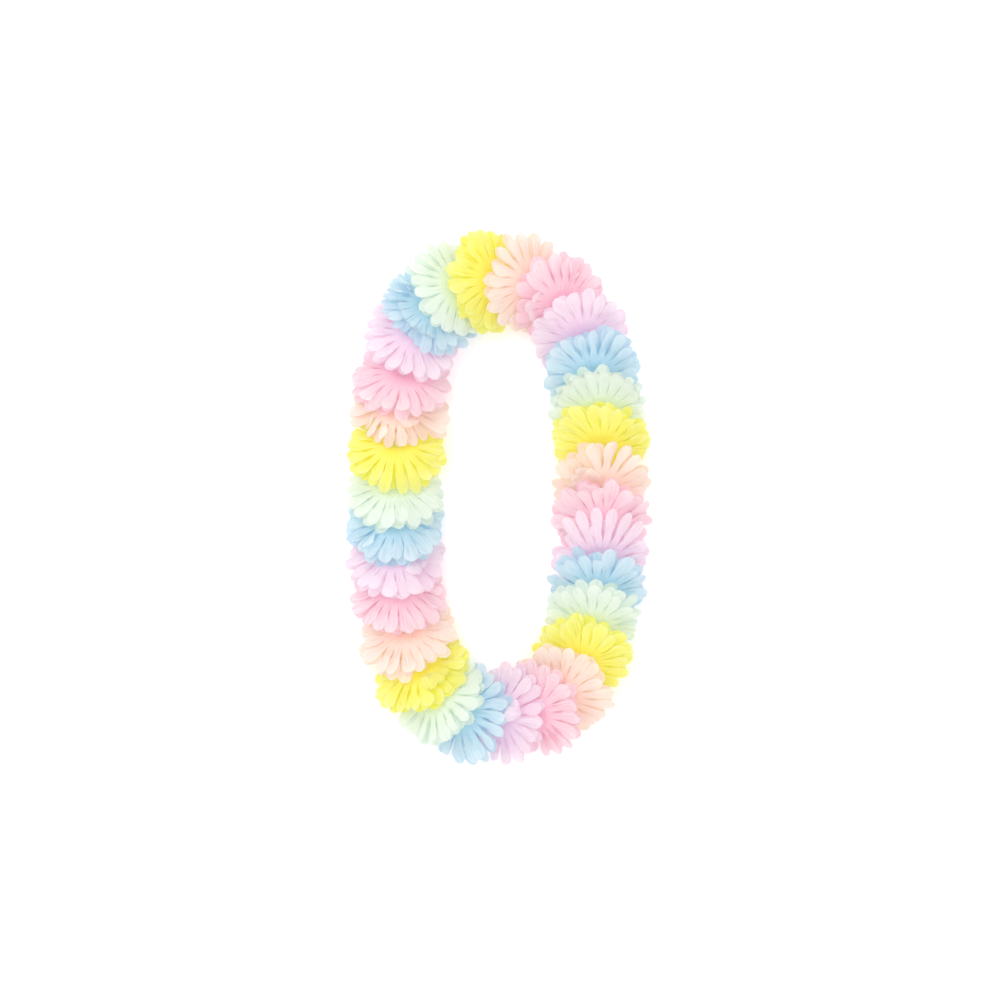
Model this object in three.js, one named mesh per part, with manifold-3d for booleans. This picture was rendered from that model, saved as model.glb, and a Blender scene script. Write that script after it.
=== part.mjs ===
// A pastel flower lei: thirty fabric blooms on a closed loop of thread, with a short tube on the
// thread between neighbours to keep them apart and a knot where the thread is tied. It lies flat, and
// each bloom has fallen over like a domino, so that its front half covers the back half of the next.
// Millimetres, +Z up. The origin is on the surface that the lei lies on, at the middle of the lei.
import * as THREE from "three";
import { mergeVertices } from "three/addons/utils/BufferGeometryUtils.js";
import Module from "manifold-3d";

const wasm = await Module();
wasm.setup();

// The loop of thread, seen from above
const LOOP_LENGTH = 1016; // once round the thread: 40 inches
const LOOP_ASPECT = 2.1; // length of the loop over its width
const LOOP_SQUARENESS = 2.75; // exponent of the superellipse: 2 is an ellipse, more is squarer
const THREAD_RADIUS = 0.8;
const THREAD_SIDES = 6;
const THREAD_HEIGHT = 24; // above the surface, held there by the blooms' back halves

// The blooms along it, counter-clockwise from the middle of the far end: six colours, repeated
const COLOURS = {
  mint: 0xdcf3dc,
  blue: 0xa9d4f2,
  lilac: 0xeecdec,
  pink: 0xfbc3d6,
  peach: 0xfcd6c4,
  yellow: 0xf8f06a,
};
const FIRST_BLOOM_AT = 36.5; // along the thread
const SLID = [ // how far each bloom has slid along the thread from even spacing
  5, 2, -3, 3, 1, 1, 5, 4, 2, -1, 6, 7, 6, 1, 1, 1, -4, -3, -1, -4, -7, -9, -9, -4, -7, -4, -2, 2, 3, 4,
];

// One bloom: two discs of stiff fabric, joined at the hub, each cut into petals round its edge
const TILT = THREE.MathUtils.degToRad(32); // of the discs, front edge up, at even spacing
const TILT_EASING = 0.6; // how much of the uneven spacing shows: blooms that are close stand steeper
const BLOOM_RADIUS = 46; // of the lower, larger disc
const PETALS = 12;
const FABRIC = 0.8;
const ROOT_SHARE = 0.42; // where a petal starts, as a share of the disc's radius
const NOTCH_SHARE = 0.8; // where the edges of two petals meet
const SHOULDER_SHARE = 0.94; // the corners of a petal's rounded tip
const SHOULDER_WIDTH = 0.62; // of half a petal's angle
const NOTCH_DROP = 1.7; // how far the fabric dips between two petals
const ROOT_DROP = 0.5;
const HUB_STEP = 3.5; // the front half stands this much above the hub, the back half below it
const SPREAD_RADIUS = 16; // where the two discs have their full distance
const LEAST_DROOP = 3; // of the front petals' tips, under their own weight
const MOST_DROOP = 7; // the same, where the next bloom lies far below them
const STACK_DEPTH = 12.5; // from one bloom's middle plane to the next one's, where no droop is left
const SIDE_DROOP = 9; // of the petals at the sides, where a disc hangs over the thread like a saddle
const HUB_RADIUS = 6; // of the gathered core
const HUB_HALF_HEIGHT = 1.2;
const BORE_RADIUS = 1.3;
const LAYERS = [
  { radius: 45, rise: 5, turn: 0.5 }, // turn is in petals
  { radius: BLOOM_RADIUS, rise: -4.2, turn: 0 },
];
const LENGTH_VARIES = 2.4; // plus or minus, for one petal
const LIFT_VARIES = 2; // the same, for its tip's height

// What is on the thread between blooms
const TUBE_RADIUS = 2;
const TUBE_BORE = 1.1;
const TUBE_SIDES = 6;
const TUBE_STANDS_OFF = 8; // from the middle of a bloom's hub to the tube's end
const KNOT_RADIUS = 2.6;
const TAIL_LENGTH = 7; // of the thread's cut ends, from the middle of the knot
const TAIL_RADIUS = 0.6;
const TAIL_RISE = THREE.MathUtils.degToRad(14);

const SEED = 58;
const UP = new THREE.Vector3(0, 0, 1);

// A repeatable random number from -1 to 1 (mulberry32).
function randomFrom(seed) {
  let state = seed;
  return () => {
    state = (state + 0x6d2b79f5) | 0;
    let t = Math.imul(state ^ (state >>> 15), 1 | state);
    t = (t + Math.imul(t ^ (t >>> 7), 61 | t)) ^ t;
    return ((t ^ (t >>> 14)) >>> 0) / 2 ** 31 - 1;
  };
}

// The thread's line: a superellipse, walked by its own length.
function threadLine() {
  const steps = 4000;
  const power = 2 / LOOP_SQUARENESS;
  const bent = (v) => Math.sign(v) * Math.abs(v) ** power;
  const outline = Array.from({ length: steps + 1 }, (_, i) => {
    const angle = (i / steps) * 2 * Math.PI;
    return new THREE.Vector3(-bent(Math.sin(angle)), LOOP_ASPECT * bent(Math.cos(angle)), 0);
  });
  const walked = [0];
  for (let i = 1; i <= steps; i++) {
    walked.push(walked[i - 1] + outline[i].distanceTo(outline[i - 1]));
  }
  const scale = LOOP_LENGTH / walked[steps];
  return (along) => {
    const wanted = (((along % LOOP_LENGTH) + LOOP_LENGTH) % LOOP_LENGTH) / scale;
    let i = 1;
    while (walked[i] < wanted) i++;
    const share = (wanted - walked[i - 1]) / (walked[i] - walked[i - 1]);
    return outline[i - 1].clone().lerp(outline[i], share).multiplyScalar(scale).setZ(THREAD_HEIGHT);
  };
}

// Where each bloom's hub is, which way the thread runs through it, and how the bloom lies there.
function bloomStations() {
  const pointAt = threadLine();
  const pitch = LOOP_LENGTH / SLID.length;
  const names = Object.keys(COLOURS);
  const stations = SLID.map((slid, i) => {
    const along = FIRST_BLOOM_AT + i * pitch + slid;
    const front = pointAt(along + 1).sub(pointAt(along - 1)).normalize();
    const side = UP.clone().cross(front); // the left, which is the inside of the loop
    return { hub: pointAt(along), front, side, colour: names[i % names.length] };
  });
  stations.forEach((station, i) => {
    const next = stations[(i + 1) % stations.length];
    const before = stations.at(i - 1);
    const turn = (other) => station.front.angleTo(other.front) / station.hub.distanceTo(other.hub);
    station.crowding = Math.max(turn(next), turn(before)); // how fast the inner side closes up, per mm
    const distance = station.hub.distanceTo(next.hub);
    station.tilt = Math.asin(Math.sin(TILT) * (pitch / distance) ** TILT_EASING);
    const spare = distance * Math.sin(station.tilt) - STACK_DEPTH;
    station.droop = THREE.MathUtils.clamp(spare, LEAST_DROOP, MOST_DROOP);
  });
  return stations;
}

// A geometry from a list of corners and a list of triangles.
function geometryOf(corners, triangles) {
  return new THREE.BufferGeometry().setFromPoints(corners).setIndex(triangles.flat());
}

// One bloom as one closed surface: the upper disc's two faces, the lower disc's two faces, both rims
// and the bore. The discs are tilted about the hub, so the bore runs through them at a slant.
function bloomGeometry(station, random) {
  const [slope, run] = [Math.sin(station.tilt), Math.cos(station.tilt)];
  const ahead = station.front.clone().multiplyScalar(run).addScaledVector(UP, slope);
  const above = station.front.clone().multiplyScalar(-slope).addScaledVector(UP, run);
  const corners = [];
  const triangles = [];
  const addCorner = (forward, sideways, height, lowest) => {
    const corner = station.hub.clone().addScaledVector(ahead, forward);
    corner.addScaledVector(station.side, sideways).addScaledVector(above, height);
    corner.z = Math.max(corner.z, lowest);
    return corners.push(corner) - 1;
  };
  // Petals on the inside of a bend lie closer to the disc's middle plane, because their neighbours do.
  const room = (sideways) => 1 - station.crowding * Math.max(0, sideways);

  const addSheetCorner = (layer, radius, bearing, lift, face) => {
    const forward = radius * Math.cos(bearing);
    const sideways = radius * Math.sin(bearing);
    const full = Math.min(1, radius / SPREAD_RADIUS);
    const share = radius / BLOOM_RADIUS;
    const frontDroop = station.droop * Math.max(0, Math.cos(bearing)) * share ** 3;
    const sideDroop = SIDE_DROOP * (share * Math.sin(bearing)) ** 2 * room(sideways);
    const step = HUB_STEP * full * Math.cos(bearing);
    const height = (layer.rise * full + lift) * room(sideways) + step - frontDroop - sideDroop;
    return addCorner(forward, sideways, height + (face * FABRIC) / 2, face > 0 ? FABRIC : 0);
  };

  const hubCount = PETALS / 2;
  const boreRing = (face) =>
    Array.from({ length: hubCount }, (_, i) => {
      const bearing = (i / hubCount) * 2 * Math.PI;
      const slant = -face * HUB_HALF_HEIGHT * (run / slope);
      const forward = slant + (BORE_RADIUS / slope) * Math.cos(bearing);
      return addCorner(forward, BORE_RADIUS * Math.sin(bearing), face * HUB_HALF_HEIGHT, 0);
    });
  const coreRing = Array.from({ length: hubCount }, (_, i) => {
    const bearing = (i / hubCount) * 2 * Math.PI;
    const step = HUB_STEP * (HUB_RADIUS / SPREAD_RADIUS) * Math.cos(bearing);
    return addCorner(HUB_RADIUS * Math.cos(bearing), HUB_RADIUS * Math.sin(bearing), step, 0);
  });

  // One face of one disc, from its inner ring to the petals' edge. Returns the edge's corners in order.
  const addFace = (layer, petals, inner, face) => {
    const halfAngle = Math.PI / PETALS;
    const faces = [];
    const roots = [];
    const edges = [];
    petals.forEach(({ reach, lift }, k) => {
      const middle = (k + layer.turn) * 2 * halfAngle;
      const notchRadius = layer.radius * NOTCH_SHARE;
      const shoulder = SHOULDER_WIDTH * halfAngle;
      roots.push(addSheetCorner(layer, layer.radius * ROOT_SHARE, middle - halfAngle, -ROOT_DROP, face));
      edges.push([
        addSheetCorner(layer, notchRadius, middle - halfAngle, -NOTCH_DROP, face),
        addSheetCorner(layer, reach * SHOULDER_SHARE, middle - shoulder, lift, face),
        addSheetCorner(layer, reach, middle, lift, face),
        addSheetCorner(layer, reach * SHOULDER_SHARE, middle + shoulder, lift, face),
      ]);
    });
    petals.forEach((_, k) => {
      const next = (k + 1) % PETALS;
      const [notch, left, tip, right] = edges[k];
      faces.push([roots[k], notch, left], [roots[k], left, right], [roots[k], right, roots[next]]);
      faces.push([left, tip, right], [roots[next], right, edges[next][0]]);
    });
    inner.forEach((corner, j) => {
      const next = inner[(j + 1) % hubCount];
      const after = roots[(2 * j + 2) % PETALS];
      faces.push([corner, roots[2 * j], roots[2 * j + 1]], [corner, roots[2 * j + 1], next]);
      faces.push([next, roots[2 * j + 1], after]);
    });
    triangles.push(...faces.map(([a, b, c]) => (face > 0 ? [a, b, c] : [a, c, b])));
    return edges.flat();
  };
  const addWall = (upper, lower) =>
    upper.forEach((corner, i) => {
      const next = (i + 1) % upper.length;
      triangles.push([lower[i], lower[next], upper[next]], [lower[i], upper[next], corner]);
    });

  const boreTop = boreRing(1);
  const boreBottom = boreRing(-1);
  const insideRings = [[boreTop, coreRing], [coreRing, boreBottom]];
  LAYERS.forEach((layer, i) => {
    const petals = Array.from({ length: PETALS }, () => ({
      reach: layer.radius + LENGTH_VARIES * random(),
      lift: LIFT_VARIES * random(),
    }));
    const upper = addFace(layer, petals, insideRings[i][0], 1);
    const lower = addFace(layer, petals, insideRings[i][1], -1);
    addWall(upper, lower);
  });
  addWall(boreBottom, boreTop);
  return geometryOf(corners, triangles);
}

// The thread's corners: straight through each hub, and straight from one hub to the next.
function threadCorners(stations) {
  return stations.flatMap(({ hub, front }) =>
    [-TUBE_STANDS_OFF, TUBE_STANDS_OFF].map((along) => hub.clone().addScaledVector(front, along)),
  );
}

// A rod of THREAD_SIDES sides that closes on itself.
function closedRod(points) {
  const corners = points.flatMap((point, i) => {
    const heading = points[(i + 1) % points.length].clone().sub(points.at(i - 1)).normalize();
    const side = UP.clone().cross(heading);
    return Array.from({ length: THREAD_SIDES }, (_, k) => {
      const angle = (k / THREAD_SIDES) * 2 * Math.PI;
      const offset = side.clone().multiplyScalar(Math.cos(angle)).addScaledVector(UP, Math.sin(angle));
      return point.clone().addScaledVector(offset, THREAD_RADIUS);
    });
  });
  const triangles = points.flatMap((_, i) =>
    Array.from({ length: THREAD_SIDES }, (__, k) => {
      const turned = (k + 1) % THREAD_SIDES;
      const here = i * THREAD_SIDES;
      const there = ((i + 1) % points.length) * THREAD_SIDES;
      return [[here + k, here + turned, there + turned], [here + k, there + turned, there + k]];
    }).flat(),
  );
  return geometryOf(corners, triangles);
}

// A solid that manifold-3d can join, from any closed geometry.
function solidOf(geometry) {
  const bare = geometry.clone();
  bare.deleteAttribute("normal");
  bare.deleteAttribute("uv");
  const merged = mergeVertices(bare, 1e-4);
  const vertProperties = merged.getAttribute("position").array;
  const triVerts = new Uint32Array(merged.index.array);
  return new wasm.Manifold(new wasm.Mesh({ numProp: 3, vertProperties, triVerts }));
}

// Puts a geometry that was made along +Z in place, so that +Z points along a direction.
function pointAlong(geometry, direction, place) {
  const turn = new THREE.Quaternion().setFromUnitVectors(UP, direction);
  return geometry.applyQuaternion(turn).translate(...place.toArray());
}

// The thread, with the knot that closes it and the two cut ends that stand out of the knot.
function threadGeometry(stations) {
  const points = threadCorners(stations);
  const gapStart = points.at(-1);
  const gapEnd = points[0];
  const knotAt = gapStart.clone().lerp(gapEnd, 0.5);
  const heading = gapEnd.clone().sub(gapStart).normalize();
  const knot = new THREE.IcosahedronGeometry(KNOT_RADIUS).translate(...knotAt.toArray());
  let solid = solidOf(closedRod(points)).add(solidOf(knot));
  for (const way of [-1, 1]) {
    const direction = heading.clone().multiplyScalar(way * Math.cos(TAIL_RISE));
    direction.addScaledVector(UP, Math.sin(TAIL_RISE));
    const tail = new THREE.CylinderGeometry(TAIL_RADIUS, TAIL_RADIUS, TAIL_LENGTH, THREAD_SIDES);
    tail.rotateX(Math.PI / 2).translate(0, 0, TAIL_LENGTH / 2);
    solid = solid.add(solidOf(pointAlong(tail, direction, knotAt)));
  }
  const mesh = solid.getMesh();
  const position = new THREE.BufferAttribute(mesh.vertProperties, mesh.numProp);
  return new THREE.BufferGeometry()
    .setAttribute("position", position)
    .setIndex(new THREE.BufferAttribute(mesh.triVerts, 1));
}

// One tube: a ring's section turned about the thread, between two corners of the thread.
function tubeGeometry(from, to) {
  const length = from.distanceTo(to);
  const section = [
    new THREE.Vector2(TUBE_BORE, 0),
    new THREE.Vector2(TUBE_RADIUS, 0),
    new THREE.Vector2(TUBE_RADIUS, length),
    new THREE.Vector2(TUBE_BORE, length),
    new THREE.Vector2(TUBE_BORE, 0),
  ];
  const tube = new THREE.LatheGeometry(section, TUBE_SIDES);
  tube.rotateX(Math.PI / 2);
  return pointAlong(tube, to.clone().sub(from).normalize(), from);
}

function material(colour, roughness) {
  return new THREE.MeshStandardMaterial({ color: colour, roughness, metalness: 0 });
}

function buildLei() {
  const lei = new THREE.Group();
  const random = randomFrom(SEED);
  const stations = bloomStations();
  const points = threadCorners(stations);
  const add = (name, geometry, finish) => {
    const mesh = new THREE.Mesh(geometry, finish);
    mesh.name = name;
    lei.add(mesh);
  };
  const fabrics = new Map();
  for (const [name, colour] of Object.entries(COLOURS)) fabrics.set(name, material(colour, 0.8));
  const plastic = material(0xf4f6f2, 0.35);

  stations.forEach((station, i) => {
    const number = String(i + 1).padStart(2, "0");
    const fabric = fabrics.get(station.colour);
    add(`bloom_${number}_${station.colour}`, bloomGeometry(station, random), fabric);
    if (i === stations.length - 1) return; // the knot is in the last gap
    add(`tube_${number}`, tubeGeometry(points[2 * i + 1], points[2 * i + 2]), plastic);
  });
  add("thread", threadGeometry(stations), material(0xf7f5ee, 0.7));

  const box = new THREE.Box3().setFromObject(lei);
  const middle = box.getCenter(new THREE.Vector3());
  lei.position.set(-middle.x, -middle.y, 0);
  return lei;
}

const lei = buildLei();
export default lei;
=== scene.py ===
# %% [markdown]
# # A fabric flower lei
# The real thing is a garland for the neck. Thirty blooms are threaded on a loop of cord, in six
# pastel colours that repeat. Each bloom is three discs of thin polyester satin, cut into petals
# round the edge, and a short plastic tube on the cord keeps it away from the next. The lei lies
# flat on a table, and every bloom has fallen forward over the next, as dominoes do.
#
# The solids of the part come in as a fixed frame. They say where each bloom, tube and thread is.
# Here each is given the shape and finish that it has on the real lei, in the same places.

import math

import bpy
import numpy as np
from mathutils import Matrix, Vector


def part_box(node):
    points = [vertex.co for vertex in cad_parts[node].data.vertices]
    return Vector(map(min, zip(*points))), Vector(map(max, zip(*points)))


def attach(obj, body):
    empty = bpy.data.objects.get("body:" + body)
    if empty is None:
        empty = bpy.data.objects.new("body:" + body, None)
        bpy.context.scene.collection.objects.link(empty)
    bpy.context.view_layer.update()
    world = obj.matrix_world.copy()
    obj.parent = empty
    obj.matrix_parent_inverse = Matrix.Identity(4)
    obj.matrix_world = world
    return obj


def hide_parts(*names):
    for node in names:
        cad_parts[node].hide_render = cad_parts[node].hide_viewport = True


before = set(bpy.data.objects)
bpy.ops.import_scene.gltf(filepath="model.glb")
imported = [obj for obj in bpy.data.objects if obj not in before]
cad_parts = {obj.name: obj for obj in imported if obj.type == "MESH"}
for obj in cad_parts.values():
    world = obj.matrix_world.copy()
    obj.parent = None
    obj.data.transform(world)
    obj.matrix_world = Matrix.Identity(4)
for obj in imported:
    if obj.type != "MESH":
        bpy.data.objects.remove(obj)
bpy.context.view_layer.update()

# %% [markdown]
# ## The camera
# The photograph looks straight down at the lei on a white table. A long lens from far above does
# the same with hardly any perspective. Its height is worked out from the scale of the photograph,
# so that one pixel there is one pixel here. A nearer camera with a short lens would spread the
# blooms apart at the edges.

# %% Camera
MM = 0.001  # in metres, Blender's unit
PHOTO_PIXELS = 1000
MM_PER_PIXEL = 0.9325  # of the photograph, where the loop of thread is 1016 mm once round
LEI_MIDDLE_PIXEL = (498, 497.5)
LENS = 85  # in mm, as the next one
SENSOR = 36
MIDDLE_HEIGHT = 27 * MM  # of the blooms that are seen

view_width = PHOTO_PIXELS * MM_PER_PIXEL * MM
camera_data = bpy.data.cameras.new("camera")
camera_data.lens = LENS
camera_data.sensor_width = SENSOR
camera = bpy.data.objects.new("camera", camera_data)
bpy.context.scene.collection.objects.link(camera)
bpy.context.scene.camera = camera
camera.location = (
    (PHOTO_PIXELS / 2 - LEI_MIDDLE_PIXEL[0]) * MM_PER_PIXEL * MM,
    (LEI_MIDDLE_PIXEL[1] - PHOTO_PIXELS / 2) * MM_PER_PIXEL * MM,
    MIDDLE_HEIGHT + view_width * LENS / SENSOR,
)
print("camera at", [round(v, 4) for v in camera.location])

# %% [markdown]
# ## Where the thread runs
# The loop is an oval with rounder ends than an ellipse: a superellipse, walked by its own length.
# The blooms are spaced along it a little unevenly. The same few driving sizes made the solids, so
# the shift between this line and the frame is read off one of the tubes.

# %% The line of the thread
LOOP_LENGTH = 1016 * MM
LOOP_ASPECT = 2.1
LOOP_SQUARENESS = 2.75
OUTLINE_POINTS = 4001
THREAD_HEIGHT = 24 * MM
FIRST_BLOOM_AT = 36.5 * MM  # along the thread
SLID = np.array([  # how far each bloom has slid along the thread from even spacing
    5, 2, -3, 3, 1, 1, 5, 4, 2, -1, 6, 7, 6, 1, 1,
    1, -4, -3, -1, -4, -7, -9, -9, -4, -7, -4, -2, 2, 3, 4,
]) * MM
TUBE_STANDS_OFF = 8 * MM  # from the middle of a bloom's hub to the tube's end
BLOOMS = len(SLID)
UP = np.array([0, 0, 1])


def squared(values):
    """The sines or cosines of an ellipse, as a superellipse has them."""
    return np.sign(values) * np.abs(values) ** (2 / LOOP_SQUARENESS)


angles = np.linspace(0, 2 * math.pi, OUTLINE_POINTS)
outline = np.stack([-squared(np.sin(angles)), LOOP_ASPECT * squared(np.cos(angles))], axis=1)
walked = np.concatenate([[0], np.cumsum(np.linalg.norm(np.diff(outline, axis=0), axis=1))])
outline *= LOOP_LENGTH / walked[-1]
walked *= LOOP_LENGTH / walked[-1]
print("oval in mm:", np.round(np.ptp(outline, axis=0) / MM, 1))


# %% Where each bloom's hub is, and which way it faces
def thread_points(along):
    """Points of the thread's line, at lengths along it."""
    wrapped = np.mod(along, LOOP_LENGTH)
    x, y = (np.interp(wrapped, walked, outline[:, axis]) for axis in range(2))
    return np.stack([x, y, np.full_like(x, THREAD_HEIGHT)], axis=-1)


bloom_along = FIRST_BLOOM_AT + np.arange(BLOOMS) * LOOP_LENGTH / BLOOMS + SLID
hubs = thread_points(bloom_along)
fronts = thread_points(bloom_along + MM) - thread_points(bloom_along - MM)
fronts /= np.linalg.norm(fronts, axis=1, keepdims=True)
sides = np.cross(UP, fronts)  # to the left, the inside of the loop

tube_middle = (hubs[0] + TUBE_STANDS_OFF * fronts[0] + hubs[1] - TUBE_STANDS_OFF * fronts[1]) / 2
low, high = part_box("tube_01")
shift = np.array((low + high) / 2) - tube_middle
hubs += shift
camera.location += Vector(shift)
print("blooms:", BLOOMS, "shift in mm", np.round(shift / MM, 2))


# %% How tightly the blooms are crowded on the inside of a bend
def turn_rate(one, other):
    """The turn between two blooms over the distance between them, in radians a metre."""
    turned = np.arccos(np.clip(np.sum(fronts[one] * fronts[other], axis=-1), -1, 1))
    return turned / np.linalg.norm(hubs[one] - hubs[other], axis=-1)


everyone = np.arange(BLOOMS)
pitches = np.linalg.norm(np.roll(hubs, -1, axis=0) - hubs, axis=1)  # from each bloom to the next
crowding = np.maximum(
    turn_rate(everyone, np.roll(everyone, -1)),
    turn_rate(everyone, np.roll(everyone, 1)),
)
print("tightest bend, radians a metre:", round(crowding.max(), 1))

# %% [markdown]
# ## One disc of petals, cut flat
# A punch cuts each disc from flat cloth: a whole middle, and slits that divide the rest into
# petals with round tips. It could be modelled petal by petal, but a disc holds together in the
# middle, so one grid is made for it. The rings of the middle are shared by all petals, and past
# the root each petal has columns of its own, so its edges are free to part and overlap. The
# columns lie closer together at a petal's edges, where the round tip needs them.

# %% The flat pattern
PETALS = 18
PETAL_ANGLE = 2 * math.pi / PETALS
COLUMNS = 6  # across one petal
MIDDLE_RINGS = 6
PETAL_ROWS = 14  # from its root to its tip
HOLE_SHARE = 0.05  # of the disc's radius, as the next one
ROOT_SHARE = 0.46

across_columns = np.sin(np.linspace(-math.pi / 2, math.pi / 2, COLUMNS + 1))
petal_rows = np.linspace(0, 1, PETAL_ROWS + 1)[1:]


def flat_pattern():
    """The grid of a disc: each point's petal, its place across and along it, and the faces.

    Across is from -1 to 1. Along is -1 at the hub, 0 at the root of the petals and 1 at the tips.
    """
    ring_size = PETALS * COLUMNS
    ring_petals = np.repeat(np.arange(PETALS), COLUMNS)
    ring_across = np.tile(across_columns[:-1], PETALS)
    shares = np.linspace(-1, 0, MIDDLE_RINGS)
    rings = [(ring_petals, ring_across, np.full(ring_size, share)) for share in shares]
    petal, across, along = (np.concatenate(column) for column in zip(*rings))
    around = np.arange(ring_size)
    next_one = (around + 1) % ring_size
    last_ring = (MIDDLE_RINGS - 1) * ring_size
    faces = []
    for here in range(0, last_ring, ring_size):
        there = here + ring_size
        corners = [here + around, there + around, there + next_one, here + next_one]
        faces.append(np.stack(corners, axis=1))
    own_petal, own_along, own_across = np.meshgrid(
        np.arange(PETALS), petal_rows, across_columns, indexing="ij"
    )
    own = len(petal) + np.arange(own_petal.size).reshape(own_petal.shape)
    root = last_ring + (np.arange(PETALS)[:, None] * COLUMNS + np.arange(COLUMNS + 1)) % ring_size
    rows = np.concatenate([root[:, None, :], own], axis=1)
    corners = [rows[:, :-1, :-1], rows[:, 1:, :-1], rows[:, 1:, 1:], rows[:, :-1, 1:]]
    faces.append(np.stack([corner.ravel() for corner in corners], axis=1))
    petal = np.concatenate([petal, own_petal.ravel()])
    across = np.concatenate([across, own_across.ravel()])
    along = np.concatenate([along, own_along.ravel()])
    return petal, across, along, np.concatenate(faces)


petal_of, across_of, along_of, disc_faces = flat_pattern()
print("points in a disc:", len(petal_of), "faces:", len(disc_faces))

# %% [markdown]
# ## How a petal is shaped
# Seen from above a petal is a spoon: its slits narrow it near the root, and toward the tip it is
# wider than its share of the circle, so neighbours lie on each other's edges. Heat pressing
# leaves it arched across its width, and handling bends it along its length. The bend is walked
# from the root: each row goes on at its own pitch, so a petal keeps its length even where it
# stands up or folds back. Lifting points straight up would be simpler, but it stretches a petal
# that stands.

# %% The sizes that every petal shares
TIP_DEPTH = 9.8 * MM  # of the round end of a petal
TIP_SPAN = 0.985  # of the half circle that rounds it, whose last bit would run along the petal's edge
SLIT = 0.03  # the share of a petal's width that its slits take
SPOON = 0.105  # the share by which it gets wider again
SLIT_OPENS_OVER = 1 / 6  # of a petal's length, as the next four
SPOON_FROM = 0.4
SPOON_OVER = 0.4
PITCHED_BY = 0.4  # where a petal has its full pitch
GROWN_BY = 0.5  # where it has its full arch, roll and slimness
ARCH = 0.45 * MM  # how far a petal's edges lie below its middle
ARCH_AT_ROOT = 0.2  # of that arch
ARCH_ABOVE = 0.35  # of that arch lifts the petal's middle, and the rest lowers its edges
LEAST_REACH = 0.3  # of the radius: folded back nearer the hub, a petal's bearings spread no further
WALK_STEPS = 48


def smooth(values):
    """0 below 0, 1 above 1, and an even curve between."""
    clipped = np.clip(values, 0, 1)
    return clipped * clipped * (3 - 2 * clipped)


print("petals:", PETALS, "slit from", round(ROOT_SHARE * 100), "% of the radius")


# %% A disc with its petals bent
def bent_disc(radius, petals):
    """How far out each point was in the flat cloth and is now, its bearing and its height.

    petals holds an array for each habit: length, pitch, curl, curl_from, curl_over, roll, arch,
    sweep and slim. The disc itself is still flat.
    """
    habit = {name: values[petal_of] for name, values in petals.items()}
    root = radius * ROOT_SHARE
    middle = along_of <= 0
    own_along = np.maximum(along_of, 0)
    end = radius + habit["length"] - TIP_DEPTH * (1 - np.sqrt(1 - (TIP_SPAN * across_of) ** 2))
    middle_flat = radius * (HOLE_SHARE + (ROOT_SHARE - HOLE_SHARE) * (1 + along_of))
    flat = np.where(middle, middle_flat, root + own_along * (end - root))

    steps = (np.arange(WALK_STEPS) + 0.5) / WALK_STEPS
    share = np.where(middle, 0, (flat - root) / (radius + habit["length"] - root))
    at = steps * share[:, None]
    curled = smooth((at - habit["curl_from"][:, None]) / habit["curl_over"][:, None])
    pitch = habit["pitch"][:, None] * smooth(at / PITCHED_BY) + habit["curl"][:, None] * curled
    step = (flat - root)[:, None] / WALK_STEPS
    forward = np.where(middle, flat, root + np.sum(np.cos(pitch) * step, axis=1))
    height = np.where(middle, 0, np.sum(np.sin(pitch) * step, axis=1))
    last_pitch = np.where(middle, 0, pitch[:, -1])

    grown = smooth(own_along / GROWN_BY)
    growing = ARCH_AT_ROOT * smooth(1 + along_of) + (1 - ARCH_AT_ROOT) * grown
    arch = (ARCH * growing + habit["arch"] * grown) * (ARCH_ABOVE - across_of**2)
    raised = arch + habit["roll"] * grown * across_of
    forward = forward - np.sin(last_pitch) * raised
    height = height + np.cos(last_pitch) * raised
    spoon = SPOON * smooth((own_along - SPOON_FROM) / SPOON_OVER)
    cut = SLIT * smooth(own_along / SLIT_OPENS_OVER) - spoon
    width = np.where(middle, 1, (1 - cut) * (1 - habit["slim"] * grown))
    spread = across_of * PETAL_ANGLE / 2 * width * flat / np.maximum(forward, LEAST_REACH * radius)
    bearing = petal_of * PETAL_ANGLE + spread + habit["sweep"] * own_along**2
    return flat, forward, bearing, height


# %% [markdown]
# ## How a bloom lies
# A bloom's discs lean on the next bloom, so they are tilted front edge up, and steeper where the
# blooms are close together. Their sides sag over the thread like a saddle, their fronts droop
# under their own weight, and their backs are pressed flat on the table. On the inside of a bend
# there is less room between blooms, so the discs are pressed together there. A cloth simulation
# of thirty blooms would take far too long for what can be said in these few rules.

# %% The tilt and the droop of each bloom
TILT = math.radians(32)
EVEN_PITCH = LOOP_LENGTH / BLOOMS
EASING = 0.6  # how much of the uneven spacing shows in the tilt
STACK_DEPTH = 12.5 * MM  # from one bloom's middle plane to the next one's; droop takes up the rest
LEAST_DROOP = 3 * MM
MOST_DROOP = 7 * MM
tilts = np.arcsin(math.sin(TILT) * (EVEN_PITCH / pitches) ** EASING)
droops = np.clip(pitches * np.sin(tilts) - STACK_DEPTH, LEAST_DROOP, MOST_DROOP)
print("tilts in degrees:", np.round(np.degrees([tilts.min(), tilts.max()]), 1))

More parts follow.
